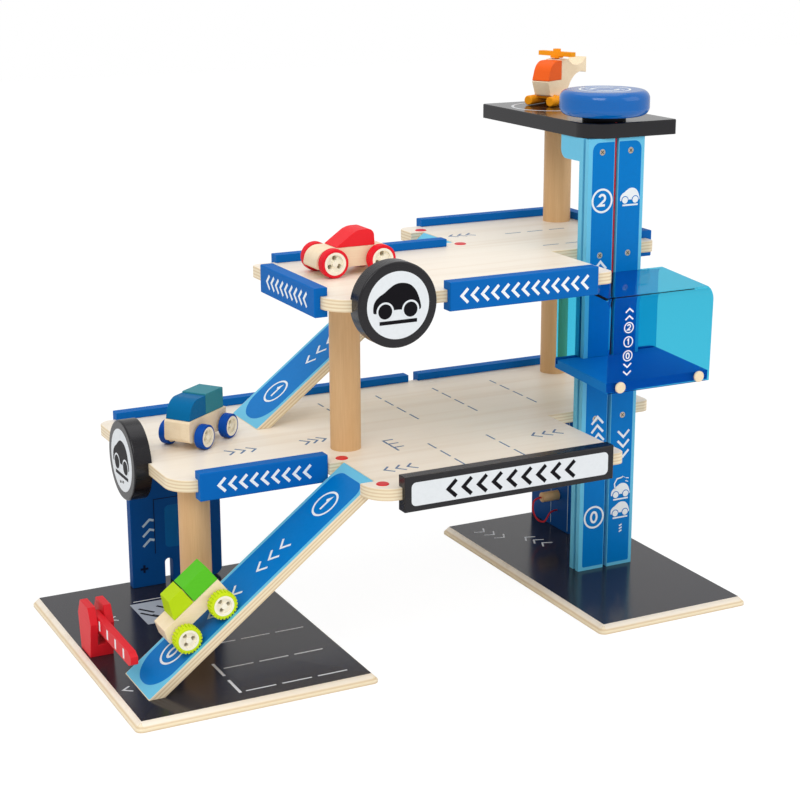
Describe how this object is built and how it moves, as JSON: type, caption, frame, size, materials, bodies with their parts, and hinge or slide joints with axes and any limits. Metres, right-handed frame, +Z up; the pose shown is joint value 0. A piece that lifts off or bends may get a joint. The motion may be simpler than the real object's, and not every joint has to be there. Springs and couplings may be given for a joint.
{
  "type": "toy parking garage",
  "caption": "Wooden toy parking garage with decks, ramps, a cord lift with cabin, barrier, charging wall, cars and helicopter.",
  "frame": {"origin": "centre of the whole garage's footprint, on the surface it stands on", "axes": "+X to the right along the long side, +Y from the open front to the back, +Z up"},
  "size_m": [0.6961, 0.378, 0.5757],
  "materials": {
    "birch_ply": "satin",
    "road_black": "satin",
    "black_wood": "gloss",
    "beech": "satin",
    "tower_blue": "satin",
    "guard_blue": "satin",
    "ramp_blue": "satin",
    "red_wood": "satin",
    "screw_steel": "satin",
    "red_cord": "matte",
    "knob_blue": "gloss",
    "black_plastic": "satin",
    "clear_blue": "gloss",
    "floor_blue": "satin",
    "red_wheels": "matte",
    "blue_wheels": "matte",
    "green_wheels": "matte",
    "teal_wood": "satin",
    "lime_wood": "satin",
    "green_wood": "satin",
    "amber_wood": "satin",
    "orange_wood": "satin"
  },
  "bodies": {
    "garage": {"base_left": "road_black", "base_right": "road_black", "deck_lower": "birch_ply", "deck_upper": "birch_ply", "roof": "black_wood", "column_left": "beech", "column_mid": "beech", "column_rear_lower": "beech", "column_rear_upper": "beech", "tower_board_left": "tower_blue", "tower_board_right": "tower_blue", "tower_core": "tower_blue", "tower_back": "tower_blue", "screws": "screw_steel", "guard_lower_front": "guard_blue", "guard_lower_back_left": "guard_blue", "guard_lower_back_right": "guard_blue", "guard_upper_left": "guard_blue", "guard_upper_mid": "guard_blue", "guard_upper_back": "guard_blue", "guard_upper_right": "guard_blue", "guard_upper_front": "guard_blue", "sign_board": "black_wood", "sign_round_front": "black_wood", "sign_round_left": "black_wood", "ramp_lower": "ramp_blue", "ramp_upper": "ramp_blue", "ramp_plugs": "red_wood", "barrier_base": "red_wood", "charger_wall": "guard_blue", "charger_plug": "beech", "charger_cord": "red_cord", "service_board": "guard_blue", "lift_cord": "red_cord"},
    "barrier_arm": {"barrier_arm": "red_wood"},
    "knob": {"knob": "knob_blue", "knob_spindle": "black_plastic"},
    "cabin": {"cabin_sheet": "clear_blue", "cabin_floor": "floor_blue", "cabin_pegs": "beech"},
    "red_car": {"red_car_body": "beech", "red_car_canopy": "red_wood"},
    "red_front_axle": {"red_car_wheels_front": "red_wheels"},
    "red_rear_axle": {"red_car_wheels_rear": "red_wheels"},
    "blue_car": {"blue_car_body": "beech", "blue_car_cab": "teal_wood", "blue_car_box": "teal_wood"},
    "blue_front_axle": {"blue_car_wheels_front": "blue_wheels"},
    "blue_rear_axle": {"blue_car_wheels_rear": "blue_wheels"},
    "green_car": {"green_car_body": "beech", "green_car_cab": "lime_wood", "green_car_box": "green_wood"},
    "green_front_axle": {"green_car_wheels_front": "green_wheels"},
    "green_rear_axle": {"green_car_wheels_rear": "green_wheels"},
    "helicopter": {"helicopter_skids": "amber_wood", "helicopter_body": "beech", "helicopter_canopy": "orange_wood"},
    "rotor": {"helicopter_rotor": "amber_wood"}
  },
  "joints": [
    {"name": "lift_slide", "type": "slide", "parent": "garage", "child": "cabin", "axis": [0, 0, 1], "range_m": [-0.234, 0.124], "deforming": ["lift_cord"]},
    {"name": "knob_turn", "type": "hinge", "parent": "garage", "child": "knob", "pos_m": [0.26, -0.01395, 0.513], "axis": [0, 0, 1], "range_deg": [-571, 303]},
    {"name": "barrier_lift", "type": "hinge", "parent": "garage", "child": "barrier_arm", "pos_m": [-0.3275, -0.006, 0.045], "axis": [-1, 0, 0], "range_deg": [0, 80]},
    {"name": "red_roll", "type": "slide", "parent": "garage", "child": "red_car", "axis": [-1, 0, 0], "range_m": [-0.03, 0.02]},
    {"name": "blue_roll", "type": "slide", "parent": "garage", "child": "blue_car", "axis": [-0.8039, -0.5948, 0], "range_m": [-0.02, 0.01]},
    {"name": "green_roll", "type": "slide", "parent": "garage", "child": "green_car", "axis": [0.7936, 0, 0.6084], "range_m": [0, 0.06]},
    {"name": "red_front_spin", "type": "hinge", "parent": "red_car", "child": "red_front_axle", "pos_m": [-0.076, -0.0215, 0.39205], "axis": [0, 1, 0], "continuous": true},
    {"name": "red_rear_spin", "type": "hinge", "parent": "red_car", "child": "red_rear_axle", "pos_m": [-0.023, -0.0215, 0.39205], "axis": [0, 1, 0], "continuous": true},
    {"name": "blue_front_spin", "type": "hinge", "parent": "blue_car", "child": "blue_front_axle", "pos_m": [-0.20357, 0.05116, 0.20625], "axis": [0.5948, -0.8039, 0], "continuous": true},
    {"name": "blue_rear_spin", "type": "hinge", "parent": "blue_car", "child": "blue_rear_axle", "pos_m": [-0.16643, 0.07864, 0.20625], "axis": [0.5948, -0.8039, 0], "continuous": true},
    {"name": "green_front_spin", "type": "hinge", "parent": "green_car", "child": "green_front_axle", "pos_m": [-0.27648, -0.1133, 0.06071], "axis": [0, 1, 0], "continuous": true},
    {"name": "green_rear_spin", "type": "hinge", "parent": "green_car", "child": "green_rear_axle", "pos_m": [-0.23941, -0.1133, 0.08912], "axis": [0, 1, 0], "continuous": true},
    {"name": "helicopter_lift", "type": "slide", "parent": "garage", "child": "helicopter", "axis": [0, 0, 1], "range_m": [0, 0.06]},
    {"name": "rotor_spin", "type": "hinge", "parent": "helicopter", "child": "rotor", "pos_m": [0.30119, 0.15207, 0.563], "axis": [0, 0, 1], "continuous": true}
  ],
  "couplings": [
    {"joint": "knob_turn", "follows": "lift_slide", "rad_per_m": 42.553}
  ]
}
